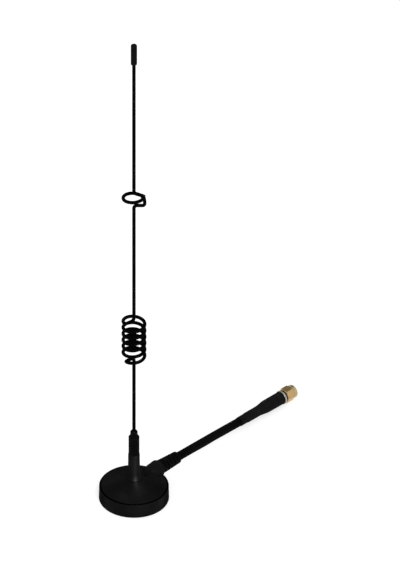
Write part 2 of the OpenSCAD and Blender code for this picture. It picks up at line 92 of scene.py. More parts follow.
def turnedAlongY(profile, sides, axisX, axisZ, radiusAt=None):
    # profile is a list of (radius, y) in millimetres about a line parallel to Y
    points = []
    for i, (r, y) in enumerate(profile):
        for k in range(sides):
            a = 2 * math.pi * k / sides
            rr = radiusAt(r, y, a, i) if radiusAt else r
            points.append(((axisX + rr * math.cos(a)) * mm, y * mm, (axisZ + rr * math.sin(a)) * mm))
    return points


def smoothStep(x, low, high):
    t = min(1.0, max(0.0, (x - low) / (high - low)))
    return t * t * (3 - 2 * t)


def rounded(corner, before, after, radius, steps):
    # points of a small round at a corner of a profile
    c, p, q = Vector(corner), Vector(before), Vector(after)
    start = c + (p - c).normalized() * radius
    end = c + (q - c).normalized() * radius
    out = []
    for i in range(steps + 1):
        t = i / steps
        out.append(tuple((1 - t) ** 2 * start + 2 * t * (1 - t) * c + t * t * end))
    return out


def smoothLine(points, spacing):
    # points at about that spacing on a smooth curve through the given ones
    out = []
    pts = [points[0] + (points[0] - points[1])] + points + [points[-1] + (points[-1] - points[-2])]
    for i in range(1, len(pts) - 2):
        a, b, c, d = pts[i - 1:i + 3]
        n = max(1, round((c - b).length / spacing))
        for k in range(n):
            t = k / n
            out.append(0.5 * (2 * b + (c - a) * t + (2 * a - 5 * b + 4 * c - d) * t * t
                              + (3 * b - a - 3 * c + d) * t ** 3))
    out.append(points[-1])
    return out


def sweptAlong(path, sides, radiusAt):
    # rings of points carried along a path without twisting
    points = []
    side = None
    for i, p in enumerate(path):
        ahead = (path[min(i + 1, len(path) - 1)] - path[max(i - 1, 0)]).normalized()
        side = Vector((1, 0, 0)) if side is None else side
        side = (side - side.dot(ahead) * ahead).normalized()
        up = ahead.cross(side)
        for k in range(sides):
            a = 2 * math.pi * k / sides
            points.append(p + radiusAt(i, a) * (math.cos(a) * side + math.sin(a) * up))
    return points


# camera, at the photograph's viewing angle

viewpoint = {
    "azimuth": 45.295, "elevation": 35.364, "roll": 0.139, "lens": 1150.0, "sensor": 36.0,
    "viewHeight": 0.32103, "aim": (-0.023185, 0.074856, 0.098041),
}


def placeCamera(v):
    a, e = math.radians(v["azimuth"]), math.radians(v["elevation"])
    back = Vector((math.sin(a) * math.cos(e), -math.cos(a) * math.cos(e), math.sin(e)))
    level = Vector((math.cos(a), math.sin(a), 0))
    upright = back.cross(level)
    roll = math.radians(v["roll"])
    right = math.cos(roll) * level + math.sin(roll) * upright
    data = bpy.data.cameras.new("photoCamera")
    data.lens = v["lens"]
    data.sensor_width = v["sensor"]
    distance = v["viewHeight"] * v["lens"] / v["sensor"]
    data.clip_start = 0.05
    data.clip_end = 60
    camera = bpy.data.objects.new("photoCamera", data)
    scene.collection.objects.link(camera)
    turn = Matrix((right, back.cross(right), back)).transposed().to_4x4()
    camera.matrix_world = Matrix.Translation(Vector(v["aim"]) + back * distance) @ turn
    scene.camera = camera


placeCamera(viewpoint)
print("camera placed")


# finishes, all made of nodes

def newFinish(name, colour, roughness, metallic=0.0, specular=0.5, coat=0.0):
    finish = bpy.data.materials.new(name)
    finish.use_nodes = True
    tree = finish.node_tree
    shader = tree.nodes["Principled BSDF"]
    shader.inputs["Base Color"].default_value = (*colour, 1)
    shader.inputs["Roughness"].default_value = roughness
    shader.inputs["Metallic"].default_value = metallic
    shader.inputs["Specular IOR Level"].default_value = specular
    shader.inputs["Coat Weight"].default_value = coat
    finish.diffuse_color = (*colour, 1)
    return finish, tree, shader


def objectSpace(tree, stretch=(1, 1, 1)):
    place = tree.nodes.new("ShaderNodeTexCoord")
    mapping = tree.nodes.new("ShaderNodeMapping")
    mapping.inputs["Scale"].default_value = stretch
    tree.links.new(place.outputs["Object"], mapping.inputs["Vector"])
    return mapping.outputs["Vector"]


def noiseOn(tree, space, scale, detail=3.0, roughness=0.55, distortion=0.0):
    grain = tree.nodes.new("ShaderNodeTexNoise")
    grain.inputs["Scale"].default_value = scale
    grain.inputs["Detail"].default_value = detail
    grain.inputs["Roughness"].default_value = roughness
    grain.inputs["Distortion"].default_value = distortion
    tree.links.new(space, grain.inputs["Vector"])
    return grain.outputs["Fac"]


def ramp(tree, value, stops):
    # stops are (position, colour) pairs; a plain number stands for a grey
    node = tree.nodes.new("ShaderNodeValToRGB")
    while len(node.color_ramp.elements) < len(stops):
        node.color_ramp.elements.new(0.5)
    for element, (position, colour) in zip(node.color_ramp.elements, stops):
        element.position = position
        element.color = (colour, colour, colour, 1) if isinstance(colour, (int, float)) else (*colour, 1)
    tree.links.new(value, node.inputs["Fac"])
    return node.outputs["Color"]


def spread(tree, value, low, high, fromLow=0.3, fromHigh=0.7):
    node = tree.nodes.new("ShaderNodeMapRange")
    node.inputs["From Min"].default_value = fromLow
    node.inputs["From Max"].default_value = fromHigh
    node.inputs["To Min"].default_value = low
    node.inputs["To Max"].default_value = high
    tree.links.new(value, node.inputs["Value"])
    return node.outputs["Result"]


def relief(tree, shader, layers):
    # layers are (height, strength, distance in metres) from coarse to fine
    normal = None
    for height, strength, distance in layers:
        bump = tree.nodes.new("ShaderNodeBump")
        bump.inputs["Strength"].default_value = strength
        bump.inputs["Distance"].default_value = distance
        tree.links.new(height, bump.inputs["Height"])
        if normal is not None:
            tree.links.new(normal, bump.inputs["Normal"])
        normal = bump.outputs["Normal"]
    tree.links.new(normal, shader.inputs["Normal"])


def tint(tree, shader, colour):
    tree.links.new(colour, shader.inputs["Base Color"])


def gloss(tree, shader, value):
    tree.links.new(value, shader.inputs["Roughness"])


def grainGloss(tree, shader, value, glancing=0.95):
    # a fine grain is dull at a glancing view, however it shines from the front
    facing = tree.nodes.new("ShaderNodeLayerWeight")
    facing.inputs["Blend"].default_value = 0.5
    dull = spread(tree, facing.outputs["Facing"], 0.0, glancing, 0.3, 0.62)
    most = tree.nodes.new("ShaderNodeMath")
    most.operation = "MAXIMUM"
    tree.links.new(value, most.inputs[0])
    tree.links.new(dull, most.inputs[1])
    gloss(tree, shader, most.outputs[0])


def scaled(colour, factor):
    return tuple(c * factor for c in colour)


def blackMoulding(name, colour, roughness, grain, specular=0.01):
    # spark-eroded moulded plastic: fine even grain, slow drift of gloss, faint lighter rubbed places
    finish, tree, shader = newFinish(name, colour, roughness, specular=specular)
    space = objectSpace(tree)
    fine = noiseOn(tree, space, grain, 2.0, 0.6)
    slow = noiseOn(tree, space, 90.0, 3.0, 0.5)
    tint(tree, shader, ramp(tree, slow, [(0.35, scaled(colour, 0.8)), (0.55, colour), (0.72, scaled(colour, 1.5))]))
    grainGloss(tree, shader, spread(tree, slow, roughness - 0.02, roughness + 0.05))
    relief(tree, shader, [(slow, 0.15, 0.0002), (fine, 0.35, 0.00006)])
    return finish


def rubberFinish(name, colour, roughness, grain):
    # soft moulded rubber: cloudy bloom and a very fine matt grain
    finish, tree, shader = newFinish(name, colour, roughness, specular=0.02)
    space = objectSpace(tree)
    fine = noiseOn(tree, space, grain, 4.0, 0.7)
    bloom = noiseOn(tree, space, 260.0, 4.0, 0.6, 0.4)
    tint(tree, shader, ramp(tree, bloom, [(0.38, scaled(colour, 0.75)), (0.6, colour), (0.8, scaled(colour, 1.9))]))
    grainGloss(tree, shader, spread(tree, fine, roughness - 0.06, roughness + 0.08))
    relief(tree, shader, [(bloom, 0.12, 0.0001), (fine, 0.3, 0.00004)])
    return finish


def extrudedJacket(name, colour):
    # extruded cable jacket: faint draw lines along it, a little dust and slightly uneven gloss
    finish, tree, shader = newFinish(name, colour, 0.5, specular=0.018)
    along = objectSpace(tree, (1, 0.05, 1))
    draw = noiseOn(tree, along, 1900.0, 2.0, 0.5)
    mottle = noiseOn(tree, objectSpace(tree), 420.0, 4.0, 0.65)
    tint(tree, shader, ramp(tree, mottle, [(0.4, scaled(colour, 0.7)), (0.56, colour), (0.75, scaled(colour, 2.6))]))
    grainGloss(tree, shader, spread(tree, mottle, 0.42, 0.6))
    relief(tree, shader, [(mottle, 0.18, 0.0001), (draw, 0.3, 0.00005)])
    return finish


def coatedWire(name, colour):
    # spring wire with a baked black coating: fine orange peel, glossier where it's rubbed
    finish, tree, shader = newFinish(name, colour, 0.42, specular=0.014)
    space = objectSpace(tree)
    peel = noiseOn(tree, space, 2600.0, 2.0, 0.5)
    patches = noiseOn(tree, space, 140.0, 3.0, 0.6)
    tint(tree, shader, ramp(tree, patches, [(0.4, scaled(colour, 0.8)), (0.6, colour), (0.78, scaled(colour, 1.7))]))
    grainGloss(tree, shader, spread(tree, patches, 0.36, 0.52))
    relief(tree, shader, [(peel, 0.25, 0.00004)])
    return finish


def platedMetal(name, colour, roughness, axis, lathe=1.0, dull=None, joints=()):
    # turned and plated metal: fine rings square to its axis, cloudy plating that is darker at random, and, where bands
    # are given, painted shade in near-black bands where two pieces meet
    finish, tree, shader = newFinish(name, colour, roughness, metallic=1.0)
    stretch = {"y": (0.02, 1, 0.02), "z": (0.02, 0.02, 1)}[axis]
    rings = noiseOn(tree, objectSpace(tree, stretch), 9000.0, 2.0, 0.5)
    cloud = noiseOn(tree, objectSpace(tree), 700.0, 4.0, 0.6, 0.3)
    dull = dull or scaled(colour, 0.72)
    plated = ramp(tree, cloud, [(0.36, dull), (0.55, colour), (0.8, scaled(colour, 1.06))])
    if joints:
        # painted shade where two pieces meet: the plating turns near-black outside the band; bands are (unshaded from,
        # unshaded to, fade) along Y, in metres
        place = tree.nodes.new("ShaderNodeTexCoord")
        split = tree.nodes.new("ShaderNodeSeparateXYZ")
        tree.links.new(place.outputs["Object"], split.inputs[0])
        low, high, fade = joints
        rise = spread(tree, split.outputs["Y"], 0.0, 1.0, low - fade, low)
        fall = spread(tree, split.outputs["Y"], 1.0, 0.0, high, high + fade)
        unshaded = tree.nodes.new("ShaderNodeMath")
        unshaded.operation = "MULTIPLY"
        tree.links.new(rise, unshaded.inputs[0])
        tree.links.new(fall, unshaded.inputs[1])
        both = tree.nodes.new("ShaderNodeMix")
        both.data_type = "RGBA"
        both.inputs[6].default_value = (*scaled(colour, 0.06), 1)
        tree.links.new(unshaded.outputs[0], both.inputs[0])
        tree.links.new(plated, both.inputs[7])
        plated = both.outputs[2]
    tint(tree, shader, plated)
    gloss(tree, shader, spread(tree, cloud, roughness - 0.04, roughness + 0.1))
    relief(tree, shader, [(cloud, 0.05, 0.00005), (rings, 0.12 * lathe, 0.00002)])
    return finish


def blackenedMetal(name, colour, roughness):
    # black-plated brass: fine turned rings and a soft sheen
    finish, tree, shader = newFinish(name, colour, roughness, specular=0.022)
    rings = noiseOn(tree, objectSpace(tree, (0.02, 0.02, 1)), 8000.0, 2.0, 0.5)
    cloud = noiseOn(tree, objectSpace(tree), 300.0, 3.0, 0.6)
    tint(tree, shader, ramp(tree, cloud, [(0.35, scaled(colour, 0.7)), (0.55, colour), (0.8, scaled(colour, 1.6))]))
    grainGloss(tree, shader, spread(tree, cloud, roughness - 0.06, roughness + 0.08))
    relief(tree, shader, [(rings, 0.2, 0.00003)])
    return finish


def paleInsulator(name, colour):
    finish, tree, shader = newFinish(name, colour, 0.38, specular=0.4)
    shader.inputs["Subsurface Weight"].default_value = 0.1
    shader.inputs["Subsurface Radius"].default_value = (0.001, 0.001, 0.001)
    soft = noiseOn(tree, objectSpace(tree), 500.0, 3.0, 0.5)
    tint(tree, shader, ramp(tree, soft, [(0.35, scaled(colour, 0.9)), (0.65, colour)]))
    gloss(tree, shader, spread(tree, soft, 0.32, 0.46))
    relief(tree, shader, [(soft, 0.1, 0.00005)])
    return finish


def groundFerrite(name, colour):
    finish, tree, shader = newFinish(name, colour, 0.55, metallic=0.2)
    speck = noiseOn(tree, objectSpace(tree), 2400.0, 5.0, 0.7)
    tint(tree, shader, ramp(tree, speck, [(0.4, scaled(colour, 0.6)), (0.55, colour), (0.75, scaled(colour, 1.8))]))
    gloss(tree, shader, spread(tree, speck, 0.45, 0.7))
    relief(tree, shader, [(speck, 0.3, 0.00005)])
    return finish


def wovenBraid(name, colour):
    # tinned braid: two sets of strands crossing
    finish, tree, shader = newFinish(name, colour, 0.3, metallic=1.0)
    space = objectSpace(tree)
    waves = []
    for direction in ("X", "Y"):
        wave = tree.nodes.new("ShaderNodeTexWave")
        wave.bands_direction = direction
        wave.inputs["Scale"].default_value = 900.0
        wave.inputs["Distortion"].default_value = 1.5
        tree.links.new(space, wave.inputs["Vector"])
        waves.append(wave.outputs["Fac"])
    tint(tree, shader, ramp(tree, waves[0], [(0.1, scaled(colour, 0.45)), (0.6, colour)]))
    relief(tree, shader, [(waves[0], 0.6, 0.00008), (waves[1], 0.6, 0.00008)])
    return finish


finishes = {
    "housing": blackMoulding("housingPlastic", (0.0046, 0.0046, 0.0048), 0.5, 3600.0, 0.014),
    "dome": blackMoulding("domePlastic", (0.0046, 0.0046, 0.0048), 0.24, 3600.0),
    # near-black with almost no gloss: painted shade for the groove at the rim and the gate dimple
    "paintedShade": blackMoulding("paintedShadePlastic", (0.0006, 0.0006, 0.0006), 0.7, 3600.0, 0.002),
    "boss": blackMoulding("bossPlastic", (0.0062, 0.0062, 0.0064), 0.36, 3600.0, 0.014),
    "relief": rubberFinish("reliefRubber", (0.0028, 0.0028, 0.003), 0.6, 5200.0),
    "jacket": extrudedJacket("leadJacketPvc", (0.0014, 0.0014, 0.0015)),
    "sleeve": rubberFinish("shrunkSleeve", (0.0072, 0.0072, 0.0078), 0.4, 2600.0),
    "wire": coatedWire("wireCoating", (0.0004, 0.0004, 0.00045)),
    "cap": blackMoulding("capPlastic", (0.0056, 0.0056, 0.0058), 0.36, 4200.0),
    "ferrule": blackenedMetal("blackFerrule", (0.0026, 0.0026, 0.0028), 0.3),
    "nut": platedMetal("goldNut", (0.53, 0.36, 0.16), 0.24, "y", dull=(0.47, 0.31, 0.135)),
    "nose": platedMetal("goldNose", (0.46, 0.385, 0.235), 0.26, "y", dull=(0.4, 0.33, 0.195)),
    "pin": platedMetal("goldPin", (0.83, 0.62, 0.28), 0.18, "y", 0.5),
    # painted shade: near-black everywhere but the middle of the flange, so its edge by the sleeve and the groove by
    # the nut look dark
    "plugBody": platedMetal("palePlating", (0.42, 0.38, 0.32), 0.28, "y", joints=(0.1231, 0.124, 0.0002)),
    "brassY": platedMetal("turnedBrassY", (0.72, 0.55, 0.27), 0.3, "y"),
    "brassZ": platedMetal("turnedBrassZ", (0.72, 0.55, 0.27), 0.3, "z"),
    "zinc": platedMetal("zincPlate", (0.58, 0.59, 0.61), 0.34, "z"),
    "copper": platedMetal("drawnCopper", (0.78, 0.42, 0.26), 0.3, "y"),
    "magnet": groundFerrite("ferriteMagnet", (0.05, 0.05, 0.055)),
    "pad": rubberFinish("footPad", (0.012, 0.012, 0.013), 0.75, 3000.0),
    "white": paleInsulator("whiteInsulator", (0.82, 0.81, 0.76)),
    "gasket": rubberFinish("redGasket", (0.32, 0.05, 0.03), 0.55, 4000.0),
    "braid": wovenBraid("tinnedBraid", (0.6, 0.6, 0.62)),
}
nodeFinish = {
    "base_housing": "housing", "pole_cup": "zinc", "ring_magnet": "magnet", "base_pad": "pad",
    "ground_disc": "brassZ", "insulating_washer": "white", "feed_stud": "brassZ",
    "whip_ferrule": "ferrule", "whip_wire": "wire", "tip_cap": "cap", "strain_relief": "relief",
    "cable_jacket": "jacket", "braid_tail": "braid", "core_tail": "white", "conductor_tail": "copper",
    "shrink_sleeve": "sleeve", "crimp_ferrule": "brassY", "plug_braid": "braid", "plug_core": "white",
    "connector_body": "plugBody", "retaining_ring": "brassY", "face_gasket": "gasket",
    "pin_insulator": "white", "centre_pin": "pin", "coupling_nut": "nut",
}
for nodeName, finishName in nodeFinish.items():
    mesh = nodes[nodeName].data
    mesh.materials.clear()
    mesh.materials.append(finishes[finishName])
print("finishes made:", len(finishes))


# lead: the route's points are those of the source, in metres

lead = {
    "route": [
        (0, 0.0161, 0.011), (0, 0.0251, 0.011), (0, 0.0341, 0.011), (-0.0002, 0.0406, 0.0108),
        (-0.0009, 0.0473, 0.0101), (-0.0018, 0.0542, 0.0091), (-0.0029, 0.0613, 0.008),
        (-0.0041, 0.0685, 0.0068), (-0.0052, 0.0755, 0.0056), (-0.0061, 0.0819, 0.0046),
        (-0.00645, 0.0861, 0.00418), (-0.0065, 0.0891, 0.0041), (-0.0065, 0.0971, 0.0041),
        (-0.0065, 0.1051, 0.0041), (-0.0065, 0.1135, 0.0041),
    ],
    "diameter": 0.005, "sides": 40, "spacing": 0.0009, "waver": 0.00003,
    "exit": (0, 0.0198, 0.011),
}


def makeLead(v):
    path = smoothLine([Vector(p) for p in v["route"]], v["spacing"])
    r = v["diameter"] / 2

    def radiusAt(i, a):
        return r + v["waver"] * math.sin(0.21 * i + 2 * a) * math.sin(0.067 * i + 1.3)

    points = sweptAlong(path, v["sides"], radiusAt)
    faces = ringFaces(len(path), v["sides"], (True, True))
    piece = addMesh("leadJacket", points, faces, finishes["jacket"], "antenna", ["cable_jacket"])
    return piece, path


leadPiece, leadPath = makeLead(lead)
print("lead made:", len(leadPath), "points")


# base: housing, boss, and the small fillet between them

base = {
    "footRadius": 19.8, "rimRadius": 19.6, "rimHeight": 8.8, "domeRise": 5.5, "coneShare": 0.75,
    "footGap": 0.3, "footRound": 0.5, "wall": 1.8, "cupTop": 4.8, "sides": 240,
    "neckFoot": 4.2, "neckRadius": 3.3, "neckTop": 30.8, "flareHeight": 2.2, "flareShare": 0.3,
    "grooveWidth": 0.8, "grooveDepth": 0.95, "lipWidth": 0.3, "lipDrop": 0.05, "topRound": 0.35, "studRadius": 1.65,
    "shutOffWidth": 0.34, "shutOffDepth": 0.4, "gate": (1.85, 7.05), "gateRadius": 0.85, "gateDepth": 0.4, "gateShadeShare": 0.95,
}


def domeHeight(v, r):
    u = (v["rimRadius"] - r) / (v["rimRadius"] - v["neckFoot"])
    return v["rimHeight"] + v["domeRise"] * (v["coneShare"] * u + (1 - v["coneShare"]) * u * u)


def makeHousing(v):
    inner = v["rimRadius"] - v["wall"]
    foot, rim = v["footRadius"], v["rimRadius"]
    profile = [(inner, v["cupTop"] - 0.2), (inner, v["footGap"] + 0.2), (inner + 0.2, v["footGap"])]
    profile += rounded((foot, v["footGap"]), (inner, v["footGap"]), (foot, v["rimHeight"]), v["footRound"], 6)
    # seam just inside the rim: a lip on the skirt, a groove, and the edge of the dome
    low = v["rimHeight"] - v["lipDrop"]
    lip = rim - v["lipWidth"]
    domeEdge = lip - v["grooveWidth"]
    edgeTop = domeHeight(v, domeEdge)
    floorLow = low - v["grooveDepth"]
    for t in (0.33, 0.66):
        profile.append((foot - (foot - rim) * t, v["footGap"] + 0.7 + t * (low - v["footGap"] - 0.8)))
    profile += [(rim + 0.03, low - 0.08), (rim - 0.02, low - 0.01), (rim - 0.1, low), (lip + 0.04, low),
                (lip, low - 0.04), (lip, floorLow), (domeEdge, floorLow), (domeEdge, edgeTop - 0.04),
                (domeEdge - 0.03, edgeTop)]
    steps = 56
    last = v["neckFoot"] + v["shutOffWidth"]
    for i in range(1, steps + 1):
        r = domeEdge + (last - domeEdge) * i / steps
        profile.append((r, domeHeight(v, r)))
    footZ = v["rimHeight"] + v["domeRise"]
    # shut-off line round the foot of the neck
    floorZ = footZ - v["shutOffDepth"]
    profile += [(last - 0.05, floorZ), (v["neckFoot"] + 0.05, floorZ), (v["neckFoot"], footZ)]
    # neck: a crisp foot, then a smooth flare into the straight part
    reach = 2 * v["flareHeight"]
    for i in range(1, 13):
        t = i / 12
        r = v["neckRadius"] + 0.1 + (v["neckFoot"] - v["neckRadius"] - 0.1) * (1 - t) ** 2.3
        profile.append((r, footZ + reach * t))
    straight = v["neckTop"] - v["topRound"]
    for t in (0.25, 0.5, 0.75):
        profile.append((v["neckRadius"] + 0.1 * (1 - t), footZ + reach + t * (straight - 1.2 - footZ - reach)))
    # fine bead under the top, where the moulding was shut off against the insert
    bead = straight - 1.0
    profile += [(v["neckRadius"], bead - 0.2), (v["neckRadius"] - 0.12, bead - 0.12),
                (v["neckRadius"] - 0.12, bead + 0.12), (v["neckRadius"], bead + 0.2)]
    profile += rounded((v["neckRadius"], v["neckTop"]), (v["neckRadius"], bead),
                       (v["studRadius"], v["neckTop"]), v["topRound"], 5)
    profile += [(v["studRadius"], v["neckTop"]), (v["studRadius"], v["neckTop"] - 2)]
    points = turnedAboutZ(profile, v["sides"])
    # gate mark: a small round dimple that the moulding leaves on the dome
    for i, (x, y, z) in enumerate(points):
        away = math.hypot(x / mm - v["gate"][0], y / mm - v["gate"][1]) / v["gateRadius"]
        if away < 1 and z > v["rimHeight"] * mm:
            points[i] = (x, y, z - v["gateDepth"] * (1 - away * away) ** 1.5 * mm)
    faces = ringFaces(len(profile), v["sides"])
    piece = addMesh("housingShell", points, faces, finishes["housing"], "antenna", ["base_housing"], 28)
    # the dome is polished in the mould, the skirt and the neck are left satin; the groove at the rim and the gate
    # dimple are painted near-black as painted shade
    piece.data.materials.append(finishes["dome"])
    piece.data.materials.append(finishes["paintedShade"])
    for face in piece.data.polygons:
        x, y, z = face.center / mm
        out = math.hypot(x, y)
        away = math.hypot(x - v["gate"][0], y - v["gate"][1]) / v["gateRadius"]
        # painted shade: the groove's walls and floor and the gate dimple take the near-black finish
        if floorLow - 0.01 < z < edgeTop - 0.04 and domeEdge - 0.01 < out < lip + 0.01:
            face.material_index = 2
        elif z > v["rimHeight"] and v["neckFoot"] < out < domeEdge:
            face.material_index = 2 if away < v["gateShadeShare"] else 1
    return piece


boss = {
    "radius": 4.65, "endRadius": 5.0, "outerEnd": 19.8, "length": 5.0, "round": 1.0, "height": 11.0,
    "boreRadius": 2.7, "seatRadius": 3.35, "seatDepth": 2.2, "sides": 128, "fillet": 0.42,
}


def bossProfile(v):
    inner = v["outerEnd"] - v["length"]
    profile = []
    for i in range(1, 31):
        a = math.radians(-90 + 3 * i)
        profile.append((v["radius"] * math.cos(a), inner + v["radius"] * math.sin(a)))
    for i in range(1, 10):
        t = i / 10
        profile.append((v["radius"] + (v["endRadius"] - v["radius"]) * smoothStep(t, 0, 1),
                        inner + t * (v["length"] - v["round"])))
    for i in range(0, 10):
        a = math.radians(10 * i)
        profile.append((v["endRadius"] - v["round"] * (1 - math.cos(a)),
                        v["outerEnd"] - v["round"] * (1 - math.sin(a))))
    return profile


def makeBoss(v):
    profile = bossProfile(v)
    profile += [(v["seatRadius"] + 0.25, v["outerEnd"]), (v["seatRadius"], v["outerEnd"] - 0.2),
                (v["seatRadius"], v["outerEnd"] - v["seatDepth"])]
    points = turnedAlongY(profile, v["sides"], 0, v["height"])
    faces = ringFaces(len(profile), v["sides"])
    return addMesh("leadBoss", points, faces, finishes["boss"], "antenna")


def bossRadius(v, y):
    profile = bossProfile(v)
    for (r0, y0), (r1, y1) in zip(profile, profile[1:]):
        if y0 <= y <= y1 and y1 > y0:
            return r0 + (r1 - r0) * (y - y0) / (y1 - y0)
    return profile[0][0]


def makeBossFillet(v, b):
    # thin concave strip over the line where the boss meets the dome
    def gap(x, y):
        # how far the boss stands over the dome at this spot
        r = bossRadius(v, y)
        if abs(x) >= r:
            return -1.0
        top = v["height"] + math.sqrt(r * r - x * x)
        return top - domeHeight(b, min(b["rimRadius"], math.hypot(x, y)))

    seam = []
    middle = (0.0, v["outerEnd"] - v["length"] + 0.6)
    for i in range(121):
        a = math.radians(-172 + 344 * i / 120) - math.pi / 2
        near, far = 0.0, 8.0
        for _ in range(30):
            half = (near + far) / 2
            x, y = middle[0] + half * math.cos(a), middle[1] + half * math.sin(a)
            if y > v["outerEnd"] - 0.3 or gap(x, y) < 0 or math.hypot(x, y) > b["rimRadius"] - 0.15:
                far = half
            else:
                near = half
        x, y = middle[0] + near * math.cos(a), middle[1] + near * math.sin(a)
        if near > 0.5 and gap(x, y) < 0.35:
            seam.append(Vector((x, y, domeHeight(b, math.hypot(x, y)))))
    if len(seam) < 12:
        print("boss fillet left out")
        return None
    points = []
    across = 6
    for i, p in enumerate(seam):
        along = (seam[min(i + 1, len(seam) - 1)] - seam[max(i - 1, 0)]).normalized()
        r = math.hypot(p.x, p.y)
        slope = (domeHeight(b, r - 0.05) - domeHeight(b, r + 0.05)) / 0.1
        domeNormal = Vector((slope * p.x / r, slope * p.y / r, 1)).normalized()
        outward = domeNormal.cross(along).normalized()
        if outward.dot(p - Vector((middle[0], middle[1], p.z))) < 0:
            outward.negate()
        rr = bossRadius(v, p.y)
        bossNormal = Vector((p.x, 0, p.z - v["height"])).normalized() if p.y > middle[1] - 0.6 else \
            (p - Vector((0, v["outerEnd"] - v["length"], v["height"]))).normalized()
        upward = bossNormal.cross(along).normalized()
        if upward.z < 0:
            upward.negate()
        fade = smoothStep(min(i, len(seam) - 1 - i), 0, 8)
        w = v["fillet"] * (0.15 + 0.85 * fade)
        start, end = p + outward * w - domeNormal * 0.02, p + upward * w - bossNormal * 0.02
        for k in range(across + 1):
            t = k / across
            points.append(((1 - t) ** 2 * start + 2 * t * (1 - t) * p + t * t * end) * mm)
    faces = []
    for i in range(len(seam) - 1):
        for k in range(across):
            a, c = i * (across + 1) + k, (i + 1) * (across + 1) + k
            faces.append((a, a + 1, c + 1, c))
    return addMesh("bossFillet", points, faces, finishes["boss"], "antenna", sharpAngle=80)


makeHousing(base)
makeBoss(boss)
makeBossFillet(boss, base)
print("base made")


# ferrule: fluted grip and chamfered collar

ferrule = {
    "low": 30.8, "gripRadius": 3.1, "gripLength": 12.1, "collarRadius": 2.1, "collarLength": 4.0,
    "flutes": 12, "fluteDepth": 0.45, "fluteLow": 0.55, "fluteHigh": 1.3, "wireRadius": 1.02, "sides": 240,
    "topChamfer": 0.45, "collarChamfer": 0.8,
}


def makeFerrule(v):
    top = v["low"] + v["gripLength"]
    crown = top + v["collarLength"]
    grip, collar = v["gripRadius"], v["collarRadius"]
    profile = [(1.7, v["low"] + 0.02), (grip - 0.25, v["low"] + 0.02), (grip - 0.06, v["low"] + 0.08),
               (grip, v["low"] + 0.25)]
    steps = 44
    for i in range(1, steps):
        profile.append((grip, v["low"] + 0.25 + (v["gripLength"] - 0.25 - v["topChamfer"]) * i / steps))
    profile += [(grip, top - v["topChamfer"]), (grip - 0.12, top - v["topChamfer"] * 0.55),
                (grip - v["topChamfer"], top), (collar + 0.22, top), (collar + 0.06, top + 0.06),
                (collar, top + 0.25), (collar, crown - v["collarChamfer"]),
                (collar - 0.12, crown - v["collarChamfer"] * 0.7),
                (collar - v["collarChamfer"], crown), (v["wireRadius"] + 0.05, crown),
                (v["wireRadius"], crown - 0.12), (v["wireRadius"], crown - 1.5)]

    def radiusAt(r, z, a, i):
        low, high = v["low"] + v["fluteLow"], top - v["fluteHigh"]
        if r < grip - 0.3 or z < low - 0.6 or z > high + 0.6:
            return r
        ends = smoothStep(z, low - 0.5, low + 0.35) * (1 - smoothStep(z, high - 0.35, high + 0.5))
        across = (a * v["flutes"] / (2 * math.pi)) % 1.0 - 0.5
        scoop = max(0.0, 1 - (across / 0.3) ** 2)
        return r - v["fluteDepth"] * ends * math.sqrt(scoop)

    points = turnedAboutZ(profile, v["sides"], radiusAt)
    faces = ringFaces(len(profile), v["sides"])
    return addMesh("whipFerrule", points, faces, finishes["ferrule"], "antenna", ["whip_ferrule"],
                   32)


makeFerrule(ferrule)
print("ferrule made")


# whip: one spring wire with its loading coil and phasing loop

whip = {
    "wireRadius": 1.0, "sides": 24, "low": 39.2, "high": 308.0,
    "coilRadius": 6.05, "coilLow": 97.0, "coilTurns": 6, "coilPitch": 4.28, "coilAngle": 261.0,
    "coilLead": 0.055, "loopRadius": 6.0, "loopLow": 201.3, "loopStep": 3.0, "loopPitch": 4.2,
    "loopAngle": 45.0, "loopStart": 0.05, "loopEnd": 0.925, "loopLast": 0.975, "loopRise": 0.9,
    "bendLength": 2.0, "turnBend": 1.45, "turnSteps": 72, "bendSteps": 10,
}


def polar(r, degrees, z):
    a = math.radians(degrees)
    return Vector((r * math.cos(a), r * math.sin(a), z))


def cornerBend(before, corner, after, reach, steps):
    start = corner + (before - corner).normalized() * reach
    end = corner + (after - corner).normalized() * reach
    out = []
    for i in range(steps + 1):
        t = i / steps
        out.append((1 - t) ** 2 * start + 2 * t * (1 - t) * corner + t * t * end)
    return out


